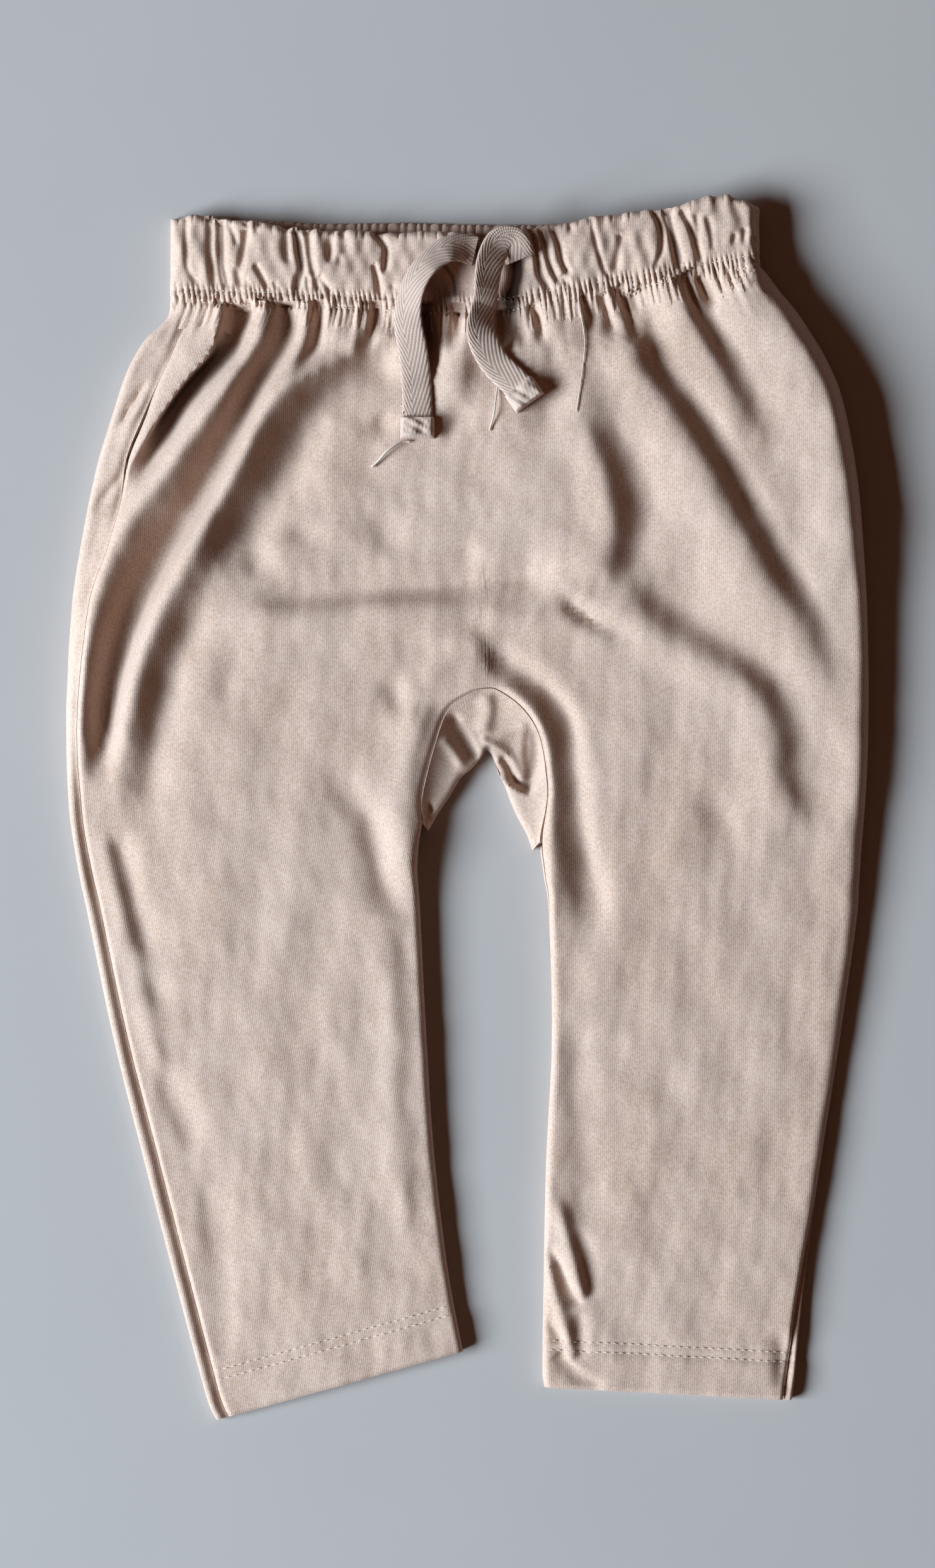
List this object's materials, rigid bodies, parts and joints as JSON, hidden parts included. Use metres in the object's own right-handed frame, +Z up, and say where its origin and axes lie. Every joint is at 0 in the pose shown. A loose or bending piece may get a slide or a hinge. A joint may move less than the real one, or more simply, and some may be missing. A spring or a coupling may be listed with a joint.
{
  "type": "sweatpants",
  "caption": "Toddler's pull-on jersey sweatpants laid flat, with a gathered drawstring waist, arched crotch gusset and straight legs.",
  "frame": {"origin": "centre of the garment's outline, on the surface that it lies on", "axes": "+X across the garment to the right of someone who looks at its front, +Y from the hems to the waist, +Z up from the surface"},
  "size_m": [0.2676, 0.408, 0.0224],
  "materials": {
    "jersey": "fine vertical rib jersey, soft and matt, dusty beige",
    "tape": "woven herringbone cotton tape, matt, a little darker than the jersey"
  },
  "bodies": {
    "root": {"front_panel": "jersey", "back_panel": "jersey", "gusset": "jersey", "waistband_front": "jersey", "waistband_back": "jersey", "drawstring_left": "tape", "drawstring_right": "tape"}
  },
  "joints": []
}
